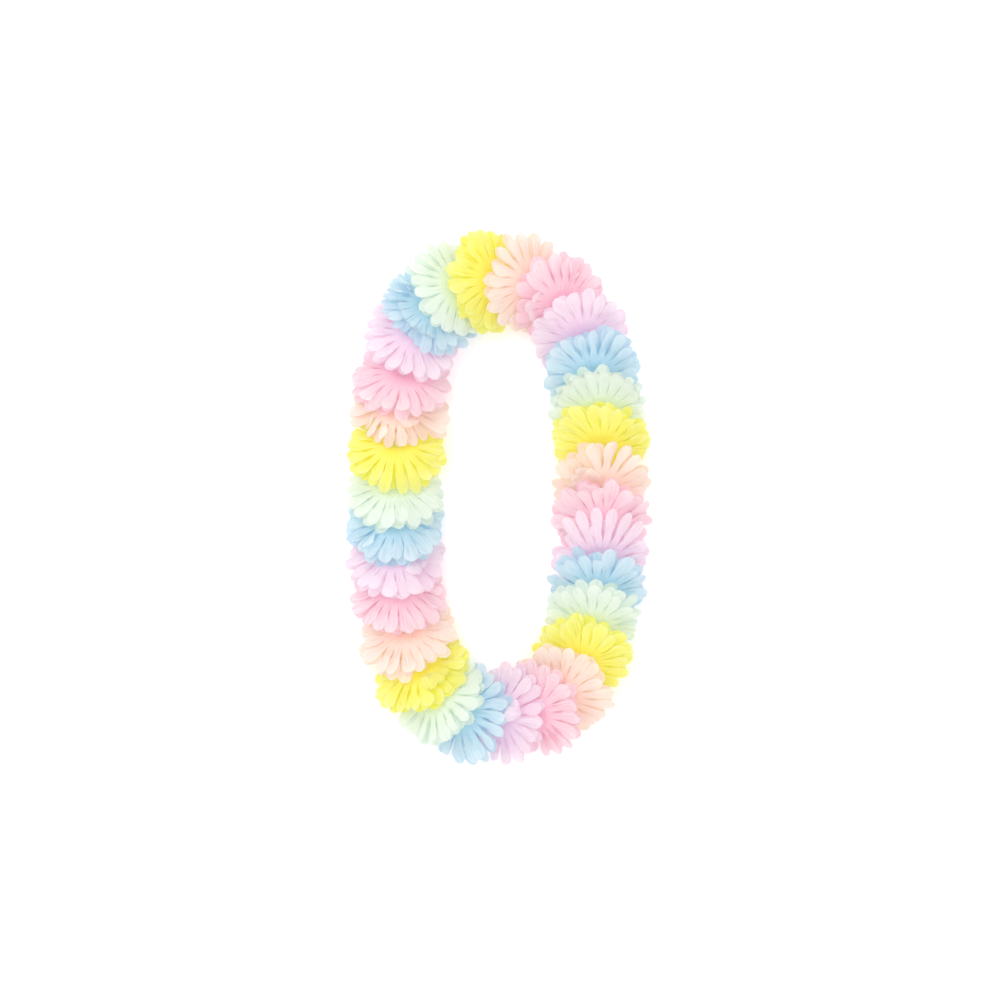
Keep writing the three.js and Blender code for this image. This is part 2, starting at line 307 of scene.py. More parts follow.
# %% The discs of a bloom, and how they are laid in the frame
BLOOM_RADIUS = 46 * MM
SPREAD_RADIUS = 16 * MM  # where the discs have their full distance
SPREAD_AT_HUB = 0.35  # the part of that distance that they have at the hub
HUB_STEP = 3.5 * MM  # how far a disc's front half is raised beyond the tilt, and its back lowered
SIDE_DROOP = 9 * MM
LAYERS = [  # from the top: rise over the middle plane, slip forward, turn in petals, lowest point
    {"radius": 44.5 * MM, "rise": 5 * MM, "slip": 2.5 * MM, "turn": 0.5, "lowest": 1.2 * MM},
    {"radius": 45 * MM, "rise": 0.3 * MM, "slip": 0.5 * MM, "turn": 0.45, "lowest": 0.7 * MM},
    {"radius": 46 * MM, "rise": -4.6 * MM, "slip": -3 * MM, "turn": 0.5, "lowest": 0.2 * MM},
]
SOFT_LANDING = 0.6 * MM  # over which a disc comes down to the table


def laid_disc(bloom, layer, slip, flat, forward, bearing, height, ruffle):
    """The points of a disc in the frame, from where they are on the disc.

    slip is how far the disc has slipped on its hub, forward and sideways.
    """
    ahead = math.cos(tilts[bloom]) * fronts[bloom] + math.sin(tilts[bloom]) * UP
    above = math.cos(tilts[bloom]) * UP - math.sin(tilts[bloom]) * fronts[bloom]
    share = flat / BLOOM_RADIUS
    onward = forward * np.cos(bearing) + slip[0] * share
    sideways = forward * np.sin(bearing) + slip[1] * share
    room = 1 - crowding[bloom] * np.clip(sideways, 0, None)
    spread = SPREAD_AT_HUB + (1 - SPREAD_AT_HUB) * np.minimum(1, flat / SPREAD_RADIUS)
    front_droop = droops[bloom] * np.maximum(0, np.cos(bearing)) * share**3
    side_droop = SIDE_DROOP * (share * np.sin(bearing)) ** 2 * room
    lifted = (layer["rise"] * spread + height + ruffle * share**2) * room
    lifted += HUB_STEP * spread * np.cos(bearing) - front_droop - side_droop
    points = hubs[bloom] + np.outer(onward, ahead)
    points += np.outer(sideways, sides[bloom]) + np.outer(lifted, above)
    above_table = (points[:, 2] - layer["lowest"]) / SOFT_LANDING
    points[:, 2] = layer["lowest"] + SOFT_LANDING * np.logaddexp(0, above_table)
    return points


print("discs a bloom:", len(LAYERS))

# %% [markdown]
# ## The blooms one by one
# No two blooms on a real lei are alike: petals are longer or shorter, lie over or under their
# neighbours, and some are rolled, folded back or stand up after the journey in a bag. Even
# chance, from one fixed seed, varies all of them a little. The few that stand out in the
# photograph are listed by bloom and by the bearing of the petal from the bloom's front.

# %% Chance
SEED = 11
VARIES = {  # most of the chance in each habit of a petal
    "length": 2.8 * MM,
    "pitch": math.radians(7),
    "curl": math.radians(26),
    "roll": 1.5 * MM,
    "arch": 0.7 * MM,
    "sweep": math.radians(3.8),
}
SLIM_VARIES = 0.09
CURL_FROM = 0.45  # of a petal's length, as the next one
CURL_OVER = 0.5
SHINGLE = 0.6 * MM  # one edge of a petal lies over a neighbour, the other under
RUFFLE_COUNTS = (2, 3, 5)  # waves round a disc
LEAST_WAVE = 0.3  # of the most that a wave can be

draw = np.random.default_rng(SEED)


def chance_petals(liveliness):
    """Habits for the petals of one disc."""
    petals = {name: liveliness * draw.uniform(-most, most, PETALS) for name, most in VARIES.items()}
    petals["curl_from"] = np.full(PETALS, CURL_FROM)
    petals["curl_over"] = np.full(PETALS, CURL_OVER)
    petals["slim"] = draw.uniform(0, SLIM_VARIES, PETALS)
    petals["roll"] += SHINGLE
    return petals


def chance_ruffle(size):
    """Three slow waves round a disc's edge, as a function of bearing."""
    waves = [
        (count, draw.uniform(LEAST_WAVE, 1) * size, draw.uniform(0, 2 * math.pi))
        for count in RUFFLE_COUNTS
    ]
    return lambda bearing: sum(most * np.cos(count * bearing + start) for count, most, start in waves)


print("habits that vary:", ", ".join(VARIES))

# %% What has happened to an odd petal
WAYS = {  # chance is drawn in the order of the habits
    "tucked": {
        "curl": math.radians(-172), "curl_from": 0.58, "curl_over": 0.13, "length": 8 * MM,
        "arch": -0.4 * MM, "slim": 0, "roll": 0, "pitch": 0, "sweep": 0,
    },
    "pleated": {
        "curl": math.radians(-165), "curl_from": 0.36, "curl_over": 0.16, "length": 4 * MM,
        "arch": -0.4 * MM, "slim": 0, "roll": 0, "pitch": 0, "sweep": 0,
    },
    "folded": {
        "curl": math.radians(166), "curl_from": 0.2, "curl_over": 0.36, "length": 6 * MM,
        "arch": -3.5 * MM, "roll": 0.8 * MM, "pitch": 0, "slim": 0,
    },
    "flung": {
        "curl": math.radians(168), "curl_from": 0, "curl_over": 0.45, "length": 4 * MM,
        "arch": -3.5 * MM, "roll": 0.8 * MM, "pitch": 0, "slim": 0,
    },
    "cupped": {
        "pitch": math.radians(68), "curl": math.radians(-20), "curl_from": 0.4,
        "slim": 0, "roll": 0, "sweep": 0,
    },
    "drooped": {"pitch": math.radians(-54), "length": -5.5 * MM, "slim": 0.15, "roll": 1.5 * MM},
    "standing": {
        "pitch": math.radians(38), "curl": math.radians(-84), "slim": 0.34,
        "length": 3 * MM, "arch": -2.2 * MM,
    },
    "splayed": {"pitch": math.radians(-22), "slim": 0.27, "length": 5 * MM, "sweep": 0, "curl": 0},
    "parted": {"pitch": math.radians(10), "slim": 0.3, "length": 3 * MM, "sweep": 0, "curl": 0},
    "rolled": {"arch": 4.5 * MM, "slim": 0.3, "pitch": math.radians(12)},
    "twisted": {"roll": 4.5 * MM, "slim": 0.4, "sweep": math.radians(9), "pitch": math.radians(18)},
    "hanging": {"curl": math.radians(-40), "curl_from": 0.4, "slim": 0.22, "length": 4 * MM},
    "narrow": {"slim": 0.36, "arch": 1.5 * MM},
    "long": {"length": 4.5 * MM, "slim": 0.16},
}
ODD_VARIES = 0.12  # most of the chance in an odd petal's habits, as a share
print("ways of odd petals:", ", ".join(WAYS))

# %% Where the odd petals are
TOP, MIDDLE, LOWEST = (0,), (1,), (2,)  # the discs of a bloom
UPPER, LOWER, ALL = (0, 1), (1, 2), (0, 1, 2)
ODD_PETALS = {  # by bloom: discs, bearings in degrees from the front (+ is inside the loop), way
    1: [(UPPER, -130, -80, "long")],
    2: [
        (TOP, -62, 48, "pleated"), (TOP, -145, -75, "twisted"), (LOWER, -145, -75, "narrow"),
        (MIDDLE, 8, 75, "hanging"), (LOWER, -15, 8, "drooped"), (LOWEST, 55, 100, "long"),
        (LOWEST, -62, -15, "narrow"),
    ],
    3: [(TOP, 75, 100, "twisted")],
    4: [(UPPER, 95, 130, "twisted")],
    5: [
        (ALL, -68, 25, "drooped"), (TOP, -45, -20, "twisted"), (TOP, 25, 58, "flung"),
        (LOWER, 25, 66, "drooped"), (UPPER, 70, 100, "long"),
    ],
    6: [(TOP, -20, 40, "hanging")],
    8: [(TOP, -60, -38, "twisted")],
    9: [(TOP, 38, 85, "folded")],
    10: [(TOP, 75, 110, "rolled")],
    11: [(MIDDLE, -110, -75, "long")],
    12: [(TOP, 10, 55, "folded"), (UPPER, -60, -20, "narrow")],
    13: [(TOP, -12, 24, "standing"), (TOP, -95, -50, "narrow")],
    14: [(ALL, -120, -50, "long"), (UPPER, -40, 0, "parted")],
    15: [(TOP, 0, 50, "flung"), (UPPER, -130, -50, "parted")],
    16: [(UPPER, -110, -50, "parted")],
    17: [(TOP, -75, -30, "long")],
    21: [
        (TOP, -70, 52, "splayed"), (LOWER, -64, 52, "drooped"), (MIDDLE, 0, 20, "twisted"),
        (ALL, 52, 74, "drooped"), (UPPER, 74, 110, "twisted"),
    ],
    22: [(TOP, 60, 100, "long")],
    23: [(TOP, 18, 48, "flung"), (TOP, 48, 95, "folded"), (ALL, -50, 5, "parted")],
    25: [(TOP, -88, 75, "tucked")],
    26: [(TOP, -50, 30, "narrow")],
    28: [(TOP, 12, 122, "cupped"), (MIDDLE, 70, 120, "twisted")],
    29: [(TOP, -120, -20, "parted")],
    30: [(ALL, -130, -60, "long")],
}
CROSSED = {2, 6, 8, 12, 17, 24, 26, 30}  # blooms whose lowest disc has turned on the thread
CROSSING = 0.5  # by how much, in petals
SCALLOPED = {1, 2, 6, 13, 14, 15, 19, 20, 25, 26, 29}  # blooms whose petals are slimmer
SCALLOP = 0.07  # by how much, as a share of a petal's width


def odd_petals(petals, bloom, number, turn):
    """Gives the odd petals of one disc their habits."""
    bearings = (np.degrees((np.arange(PETALS) + turn) * PETAL_ANGLE) + 180) % 360 - 180
    for discs, first, last, way in ODD_PETALS.get(bloom + 1, []):
        if number not in discs:
            continue
        chosen = (bearings > first) & (bearings < last)
        for name, value in WAYS[way].items():
            if name.startswith("curl_"):
                petals[name][chosen] = value
            else:
                petals[name][chosen] = value * draw.uniform(1 - ODD_VARIES, 1 + ODD_VARIES, chosen.sum())


print("blooms with odd petals:", len(ODD_PETALS))

# %% [markdown]
# ## Making the blooms
# The grid is bent and laid three times for each bloom, once a disc, and the three become one
# mesh. The dye, the shade and light painted on it, and the weave belong to the flat cloth, so the
# mesh stores for each point where it was on that cloth and on its petal: a pattern made from places
# in the room would slide over a petal that bends. A Solidify modifier gives the cloth its thickness.

# %% One disc of one bloom
LIVELINESS = (0.7, 1.5)  # least and most of what multiplies the chance in a bloom's petals
WHOLE_RUFFLE = 1.6 * MM  # in height, the same for a bloom's three discs
DISC_RUFFLE = 0.6 * MM  # and each disc's own
REACH_WAVES = 1.1 * MM  # in the length of petals
TURN_VARIES = 0.15  # of a petal
SLIP_VARIES = (1.3 * MM, 1 * MM)  # forward and sideways


def bloom_disc(bloom, number, liveliness, whole_ruffle, reach_waves):
    """The points of one disc, and what is stored for each of them."""
    layer = LAYERS[number]
    petals = chance_petals(liveliness)
    turn = layer["turn"] + draw.uniform(-TURN_VARIES, TURN_VARIES)
    if number in LOWEST and bloom + 1 in CROSSED:
        turn += CROSSING
    petals["length"] += reach_waves((np.arange(PETALS) + turn) * PETAL_ANGLE)
    if bloom + 1 in SCALLOPED:
        petals["slim"] += SCALLOP
    odd_petals(petals, bloom, number, turn)
    ruffle = chance_ruffle(DISC_RUFFLE)
    slip = [draw.uniform(-most, most) for most in SLIP_VARIES]
    slip[0] += layer["slip"]
    flat, forward, bearing, height = bent_disc(layer["radius"], petals)
    bearing = bearing + turn * PETAL_ANGLE
    waves = whole_ruffle(bearing) + ruffle(bearing)
    points = laid_disc(bloom, layer, slip, flat, forward, bearing, height, waves)
    on_cloth = petal_of * PETAL_ANGLE + across_of * PETAL_ANGLE / 2 + draw.uniform(0, math.pi)
    own = draw.uniform(0, 1, PETALS)[petal_of]
    stored = {
        "cloth": [flat * np.cos(on_cloth), flat * np.sin(on_cloth), np.full_like(flat, number)],
        "petal": [across_of, flat / layer["radius"], own],
        "along": [along_of, along_of, along_of],  # one number, stored as the others are
    }
    return points, {label: np.stack(parts, axis=1) for label, parts in stored.items()}


# %% All blooms
CLOTH = 0.2 * MM


def bloom_mesh(bloom, name):
    """The discs of one bloom as one mesh."""
    liveliness = draw.uniform(*LIVELINESS)
    whole_ruffle = chance_ruffle(WHOLE_RUFFLE)
    reach_waves = chance_ruffle(REACH_WAVES)
    discs = [
        bloom_disc(bloom, number, liveliness, whole_ruffle, reach_waves)
        for number in range(len(LAYERS))
    ]
    points = np.concatenate([disc_points for disc_points, _ in discs])
    faces = np.concatenate([disc_faces + number * len(petal_of) for number in range(len(discs))])
    mesh = bpy.data.meshes.new(name)
    mesh.from_pydata(points.tolist(), [], faces.tolist())
    for label in ("cloth", "petal", "along"):
        values = np.concatenate([stored[label] for _, stored in discs])
        attribute = mesh.attributes.new(label, "FLOAT_VECTOR", "POINT")
        attribute.data.foreach_set("vector", values.astype(np.float32).ravel())
    mesh.shade_smooth()
    return mesh


bloom_pieces = {}
bloom_nodes = sorted(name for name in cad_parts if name.startswith("bloom_"))
for bloom, node in enumerate(bloom_nodes):
    name = node.replace("bloom_", "petals_")
    piece = bpy.data.objects.new(name, bloom_mesh(bloom, name))
    bpy.context.scene.collection.objects.link(piece)
    thickness = piece.modifiers.new("cloth", "SOLIDIFY")
    thickness.thickness = CLOTH
    thickness.offset = 0
    normals = piece.modifiers.new("normals", "WEIGHTED_NORMAL")  # else the thin rim darkens the edge
    normals.mode = "FACE_AREA"
    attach(piece, "root")
    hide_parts(node)
    bloom_pieces[node] = piece
print("blooms made:", len(bloom_pieces))

# %% [markdown]
# ## A small language for finishes
# A finish is a tree of shader nodes. Written node by node it hides the sums that it does, so a
# value that varies over a surface is wrapped here in a class that Python can do sums with.

# %% Values
class Value:
    """A number that varies over a surface: a shader socket that takes part in sums."""

    def __init__(self, finish, socket):
        self.finish = finish
        self.socket = socket

    def _maths(self, operation, first, second=0.0):
        made = self.finish.node("ShaderNodeMath", {"operation": operation}, {0: first, 1: second})
        return Value(self.finish, made.outputs[0])

    def __add__(self, other):
        return self._maths("ADD", self, other)

    def __sub__(self, other):
        return self._maths("SUBTRACT", self, other)

    def __rsub__(self, other):
        return self._maths("SUBTRACT", other, self)

    def __mul__(self, other):
        return self._maths("MULTIPLY", self, other)

    def __pow__(self, other):
        return self._maths("POWER", self, other)

    __radd__ = __add__
    __rmul__ = __mul__

    def sine(self):
        return self._maths("SINE", self)

    def size(self):
        return self._maths("ABSOLUTE", self)

    def clamped(self):
        """Kept from 0 to 1."""
        return Value(self.finish, self.finish.node("ShaderNodeClamp", {}, {0: self}).outputs[0])


# %% Finishes
class Finish:
    """A material in the making."""

    def __init__(self, name):
        self.material = bpy.data.materials.new(name)
        self.material.use_nodes = True
        self.tree = self.material.node_tree
        self.tree.nodes.clear()
        self.stored = {}

    def node(self, kind, settings, inputs):
        """A node of a kind, with its settings, and values or links for its sockets."""
        made = self.tree.nodes.new(kind)
        for key, value in settings.items():
            setattr(made, key, value)
        for key, value in inputs.items():
            source = value.socket if isinstance(value, Value) else value
            if isinstance(source, bpy.types.NodeSocket):
                self.tree.links.new(source, made.inputs[key])
            else:
                made.inputs[key].default_value = source
        return made

    def attribute(self, name):
        """The three parts of a vector that is stored in the mesh."""
        if name not in self.stored:
            vector = self.node("ShaderNodeAttribute", {"attribute_name": name}, {}).outputs["Vector"]
            parts = self.node("ShaderNodeSeparateXYZ", {}, {0: vector})
            self.stored[name] = [Value(self, part) for part in parts.outputs]
        return self.stored[name]

    def vector(self, *parts):
        made = self.node("ShaderNodeCombineXYZ", {}, dict(enumerate(parts)))
        return made.outputs[0]

    def noise(self, vector, scale, detail=2.0):
        inputs = {"Vector": vector, "Scale": scale, "Detail": detail}
        return Value(self, self.node("ShaderNodeTexNoise", {}, inputs).outputs["Fac"])

    def mix(self, first, second, share):
        """A colour between two."""
        made = self.node("ShaderNodeMix", {"data_type": "RGBA"}, {0: share, 6: first, 7: second})
        return made.outputs[2]


def linear(colour):
    """A colour from 0xRRGGBB, as the light values that shaders work in, with alpha."""
    parts = [(colour >> bits & 255) / 255 for bits in (16, 8, 0)]
    return [((c + 0.055) / 1.055) ** 2.4 if c > 0.04045 else c / 12.92 for c in parts] + [1]


def dimmed(colour, share):
    """A share of a colour's light."""
    return [share * part for part in colour[:3]] + [1]


def blend(first, second, share):
    """A constant colour between two."""
    return [(1 - share) * one + share * other for one, other in zip(first, second)]


# %% [markdown]
# ## Polyester satin
# The petals are dyed right through. Painted shade makes their colour deepest at the hub, where
# cloth lies on cloth, and painted light makes it palest at the tips, where light comes through one
# layer. Pressed lines run along each petal, with a painted sheen on the pale streaks and painted
# shade on the deeper ones. A painted highlight pales the cut edges, painted shade darkens the slits
# between petals, and each disc below is painted in deeper shade than the one above it. The weave is
# a plain one, about 3 threads a millimetre, and shows only close up.
#
# The cloth is thin, so most of the light goes through it: a Translucent shader is mixed in for
# that, in one constant colour, because an export bakes the pattern of the Principled shader only.
# Subsurface scattering could do it too, but it is slower and made for thick things. Light that
# has gone back and forth between many layers takes up their colour. A render would need very many
# bounces for it, so a faint glow, deepest in colour at the hub, stands for the rest of it.

# %% The colours of the six fabrics
# Hub, middle and tip hold painted shade and light: the hub colour is deepened as shade, the tip colour
# paled as light that comes through one layer.
FABRICS = {  # hub, middle of a petal, tip, and the light that is scattered between the layers
    "mint": (0xF3F9F2, 0xF9FCF7, 0xF8FCF5, 0xD9F2DD),
    "blue": (0xD1ECF8, 0xEAF6FA, 0xF0F8FB, 0x9AD3F0),
    "lilac": (0xFBE9F4, 0xFDF5FA, 0xFDF7FA, 0xEFC8E7),
    "pink": (0xFDEAF0, 0xFDF1F5, 0xFDF2F6, 0xFFB6D0),
    "peach": (0xFEF2EA, 0xFEF7F2, 0xFEF7F3, 0xFFD5C1),
    "yellow": (0xFDF98A, 0xFDFCA2, 0xFCFCB0, 0xFDF240),
}
WHITE = [1, 1, 1, 1]
# The white of painted highlights and sheen, and how deep the painted shade of slits, streaks and lower
# discs is.
PALEST_HIGHLIGHT = 0.7  # the share of white in rims and pale streaks
DEEPEST_SHADE = 0.62  # the share of the scattered light's colour in slits and deep streaks
LOWER_DISC_SHADE = 0.13  # how much deeper in colour each disc is than the one above it
print("fabrics:", ", ".join(FABRICS))

# %% Where on the cloth the colours are
# A gain is how fast a colour comes in. TIP_FROM is a share of the disc's radius. The other places
# are along a petal, from 0 at its root to 1 at its tip.
BLOTCHES = 90  # a metre, where the cloth took up the dye unevenly
# From hub to middle to tip: painted shade deepens the hub and painted light pales the tips.
MIDDLE_GAIN = 1.7
MIDDLE_HELD_BACK = 0.35
MIDDLE_BLOTCHY = 0.3
TIP_FROM = 0.55
TIP_GAIN = 2.1
TIP_BLOTCHY = 0.5
TIP_VARIES = 0.3  # from petal to petal
# Painted highlights: the rims of each petal's sides and end are paled toward white.
RIM_HIGHLIGHT_FROM = 0.55
SIDE_HIGHLIGHT = {"gain": 1.6, "sharpness": 6}
END_HIGHLIGHT = {"gain": 0.6, "sharpness": 10}
RIM_HIGHLIGHT_GAIN = 1.4
# Painted sheen: pale streaks along the pressed lines.
SHEEN_STREAK = {"least": 0.52, "gain": 5}  # least and most are levels of the streaks' noise
# Painted shade: in the deeper streaks, and along the slits between petals below.
SHADED_STREAK = {"most": 0.46, "gain": 3}
SLIT_SHADE_FROM = -0.12
SLIT_SHADE_TO = 0.62
SLIT_SHADE_GAINS = (5, 4)  # where it begins, and where it ends
SLIT_SHADE_SHARPNESS = 16


def dyed_with_painted_light(finish, colour, streaks):
    """The colour of the cloth: its dye, with painted shade, highlights, sheen and light."""
    hub, middle, tip, glow = (linear(shade) for shade in FABRICS[colour])
    warp, weft, disc = finish.attribute("cloth")
    across, reach, own = finish.attribute("petal")
    along = finish.attribute("along")[0]
    side = across.size()

    blotch = finish.noise(finish.vector(warp, weft, disc), BLOTCHES)
    # Painted shade deepens the hub, and painted light pales the tips.
    to_middle = reach * MIDDLE_GAIN + blotch * MIDDLE_BLOTCHY - MIDDLE_HELD_BACK
    to_tip = (reach - TIP_FROM) * TIP_GAIN + (blotch - 0.5) * TIP_BLOTCHY + (own - 0.5) * TIP_VARIES
    shade = finish.mix(finish.mix(hub, middle, to_middle), tip, to_tip)

    # Painted highlight: the rims of each petal's sides and end are paled toward white.
    side_highlight = side ** SIDE_HIGHLIGHT["sharpness"] * (along - RIM_HIGHLIGHT_FROM) * SIDE_HIGHLIGHT["gain"]
    rim_highlight = side_highlight + along ** END_HIGHLIGHT["sharpness"] * END_HIGHLIGHT["gain"]
    # Painted sheen: the pale streaks along the pressed lines.
    sheen_streaks = (streaks - SHEEN_STREAK["least"]).clamped() * SHEEN_STREAK["gain"]
    shade = finish.mix(shade, blend(tip, WHITE, PALEST_HIGHLIGHT), sheen_streaks + rim_highlight.clamped() * RIM_HIGHLIGHT_GAIN)

    # Painted shade: the slits between petals and the deeper streaks are darkened.
    begun = ((along - SLIT_SHADE_FROM) * SLIT_SHADE_GAINS[0]).clamped()
    slit_shade = side**SLIT_SHADE_SHARPNESS * begun * ((SLIT_SHADE_TO - along) * SLIT_SHADE_GAINS[1]).clamped()
    shaded_streaks = (SHADED_STREAK["most"] - streaks).clamped() * SHADED_STREAK["gain"]
    shade = finish.mix(shade, dimmed(glow, DEEPEST_SHADE), slit_shade.clamped() + shaded_streaks)
    # Painted shade: each disc below is deeper in colour than the one above it, as it gets less light.
    return finish.mix(shade, glow, disc * LOWER_DISC_SHADE)


# %% The pressed lines and the weave
STREAKS = {"across": 2.5, "along": 1.5, "size": 1.6, "detail": 4.0}
OWN_PLACE = (50, 9)  # sets each petal's streaks far from another's in the noise
CREASES = 9  # radians from a petal's middle to its edge
CREASES_SHIFT = 20  # radians, from petal to petal
WEAVE_PITCH = 0.35 * MM
THREAD_WAVE = 2 * math.pi / WEAVE_PITCH
THREAD_RELIEF = 0.3  # against 1 for the creases, as the next one
STREAK_RELIEF = 3
RELIEF = {"Strength": 0.4, "Distance": 0.2 * MM}


def streaks_of(finish):
    """Long streaks along each petal, as levels around one half."""
    across, reach, own = finish.attribute("petal")
    place = finish.vector(
        across * STREAKS["across"] + own * OWN_PLACE[0], reach * STREAKS["along"], own * OWN_PLACE[1]
    )
    return finish.noise(place, STREAKS["size"], STREAKS["detail"])


def threads_of(finish):
    """The threads of a plain weave, from -1 to 1."""
    warp, weft, _ = finish.attribute("cloth")
    return (warp * THREAD_WAVE).sine() * (weft * THREAD_WAVE).sine()


def relief_of(finish, streaks, threads):
    """The normals that threads, pressed creases and streaks give the cloth."""
    across, reach, own = finish.attribute("petal")
    creases = (across * CREASES + own * CREASES_SHIFT).sine() * (1 - reach)
    height = threads * THREAD_RELIEF + creases + streaks * STREAK_RELIEF
    return finish.node("ShaderNodeBump", {}, RELIEF | {"Height": height}).outputs[0]


print("threads a millimetre:", round(MM / WEAVE_PITCH, 1))

# %% The cloth and the light behind it
THROUGH = 0.6  # share of the light that passes through the cloth
BEHIND_DEEPER = 0.04  # how much of the scattered light's colour that light takes up
OUTER_GLOW = 0.42  # how bright the glow is toward the tip
OUTER_GAIN = 1.4
OUTER_HELD_BACK = 0.2
ROUGHNESS = 0.62
THREAD_ROUGHNESS = 0.05


def satin(colour):
    """The finish of one fabric."""
    _, middle, _, glow = (linear(shade) for shade in FABRICS[colour])
    finish = Finish(colour + "_satin")
    reach = finish.attribute("petal")[1]
    streaks = streaks_of(finish)
    threads = threads_of(finish)
    normal = relief_of(finish, streaks, threads)
    outer = reach * OUTER_GAIN - OUTER_HELD_BACK
    cloth = finish.node("ShaderNodeBsdfPrincipled", {}, {
        "Base Color": dyed_with_painted_light(finish, colour, streaks),
        "Roughness": threads * THREAD_ROUGHNESS + ROUGHNESS,
        "Normal": normal,
        "Emission Color": finish.mix(glow, dimmed(middle, OUTER_GLOW), outer),
        "Emission Strength": 0.24,
        "Sheen Weight": 0.25,
        "Sheen Roughness": 0.4,
        "Specular IOR Level": 0.25,
    })
    behind = finish.node("ShaderNodeBsdfTranslucent", {}, {
        "Color": blend(middle, glow, BEHIND_DEEPER),
        "Normal": normal,
    })
    both = finish.node("ShaderNodeMixShader", {}, {0: THROUGH, 1: cloth.outputs[0], 2: behind.outputs[0]})
    finish.node("ShaderNodeOutputMaterial", {}, {0: both.outputs[0]})
    return finish.material


satins = {colour: satin(colour) for colour in FABRICS}
for node, piece in bloom_pieces.items():
    piece.data.materials.append(satins[node.split("_")[2]])
print("nodes in a satin:", len(satins["mint"].node_tree.nodes))

# %% [markdown]
# ## The spacers
# Between two blooms a short piece of clear-white plastic tube keeps them apart. Each is cut from
# stock tube, so its ends are square. One ring after another round the thread's line gives it:
# outside, end, bore and end again, with the outer edges eased so that they catch the light. The
# same rings, wound on a curve, make the cord further down, so a function makes both.

# %% Round things along a line
def axes_along(points, closed, reference):
    """Two directions across a line at each of its points, the first square to the reference."""
    if closed:
        heading = np.roll(points, -1, axis=0) - np.roll(points, 1, axis=0)
    else:
        heading = np.gradient(points, axis=0)
    heading /= np.linalg.norm(heading, axis=1, keepdims=True)
    across = np.cross(reference, heading)
    across /= np.linalg.norm(across, axis=1, keepdims=True)
    return across, np.cross(heading, across)


def skin(points, across, up, radii, sides, closed):
    """The points and faces of rings round the points of a line, each joined to the next."""
    count = len(points)
    turn = np.linspace(0, 2 * math.pi, sides, endpoint=False)[None, :, None]
    ring = across[:, None, :] * np.cos(turn) + up[:, None, :] * np.sin(turn)
    rings = points[:, None, :] + ring * np.broadcast_to(radii, count)[:, None, None]
    joined = count if closed else count - 1
    along, around = np.meshgrid(np.arange(joined), np.arange(sides), indexing="ij")
    here, there, turned = along * sides, (along + 1) % count * sides, (around + 1) % sides
    corners = [here + around, here + turned, there + turned, there + around]
    faces = np.stack(corners, axis=-1).reshape(-1, 4).tolist()
    if not closed:
        faces += [list(range(sides))[::-1], list(range((count - 1) * sides, count * sides))]
    return rings.reshape(-1, 3), faces


def add_piece(name, parts, material):
    """A piece from lists of points and faces, which rides on the lei."""
    points, faces = [], []
    for part_points, part_faces in parts:
        start = sum(map(len, points))
        points.append(part_points)
        faces += [[start + corner for corner in face] for face in part_faces]
    mesh = bpy.data.meshes.new(name)
    mesh.from_pydata(np.concatenate(points).tolist(), [], faces)
    mesh.shade_smooth()
    mesh.materials.append(material)
    piece = bpy.data.objects.new(name, mesh)
    bpy.context.scene.collection.objects.link(piece)
    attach(piece, "root")
    return piece


# %% A plain finish with faint specks
SPECKS = 900  # a metre
SPECKS_DIMMED = 0.9
SPECKS_ROUGHER = 0.1


def plain(name, colour, roughness, through=0.0, glow=0.0):
    """A finish in one colour. through is the share of light that scatters inside."""
    finish = Finish(name)
    place = finish.node("ShaderNodeNewGeometry", {}, {})
    specks = finish.noise(place.outputs["Position"], SPECKS)
    surface = finish.node("ShaderNodeBsdfPrincipled", {}, {
        "Base Color": finish.mix(linear(colour), dimmed(linear(colour), SPECKS_DIMMED), specks),
        "Roughness": specks * SPECKS_ROUGHER + roughness,
        "Subsurface Weight": through,
        "Subsurface Scale": 2 * MM,
        "Emission Color": WHITE,
        "Emission Strength": glow,
    })
    finish.node("ShaderNodeOutputMaterial", {}, {0: surface.outputs[0]})
    return finish.material


clear_white = plain("tube_plastic", 0xF4F6F2, roughness=0.25, through=0.4)
print("finish:", clear_white.name)

# %% The spacers
SPACER_RADIUS = 2 * MM
SPACER_BORE = 1.15 * MM
SPACER_SIDES = 20
EASED = 0.25 * MM

for number in range(BLOOMS - 1):
    start = hubs[number] + TUBE_STANDS_OFF * fronts[number]
    end = hubs[number + 1] - TUBE_STANDS_OFF * fronts[number + 1]
    length = np.linalg.norm(end - start)
    way = (end - start) / length
    rounds = [  # along and radius: up the outside, and back down the bore
        (0, SPACER_RADIUS - EASED), (EASED, SPACER_RADIUS), (length - EASED, SPACER_RADIUS),
        (length, SPACER_RADIUS - EASED), (length, SPACER_BORE), (0, SPACER_BORE),
    ]
    alongs, radii = np.array(rounds).T
    across = np.cross(UP, way) / np.linalg.norm(np.cross(UP, way))
    axes = [np.tile(axis, (len(rounds), 1)) for axis in (across, np.cross(way, across))]
    tube = skin(start + np.outer(alongs, way), *axes, radii, SPACER_SIDES, closed=True)
    spacer = add_piece(f"spacer_{number + 1:02d}", [tube], clear_white)
    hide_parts(f"tube_{number + 1:02d}")
print("spacers:", BLOOMS - 1)

# %% [markdown]
# ## The cord and its knot
# The blooms are threaded on a white three-ply polyester cord. Each ply is a rod wound round the
# thread's line, which shows its twist where a smooth rod would look like wire. The two ends are
# tied in the gap between the last bloom and the first, and cut a few millimetres from the knot,
# where the plies come apart. The knot is a trefoil, the simplest that a cord can be tied in.

# %% The cord
PLIES = 3
PLY_RADIUS = 0.42 * MM
PLY_SIDES = 6
PLY_PITCH = 4.2 * MM  # along the cord, for one turn of a ply
STATIONS_A_TURN = 8
cord_white = plain("thread_cord", 0xF7F5EE, roughness=0.7)

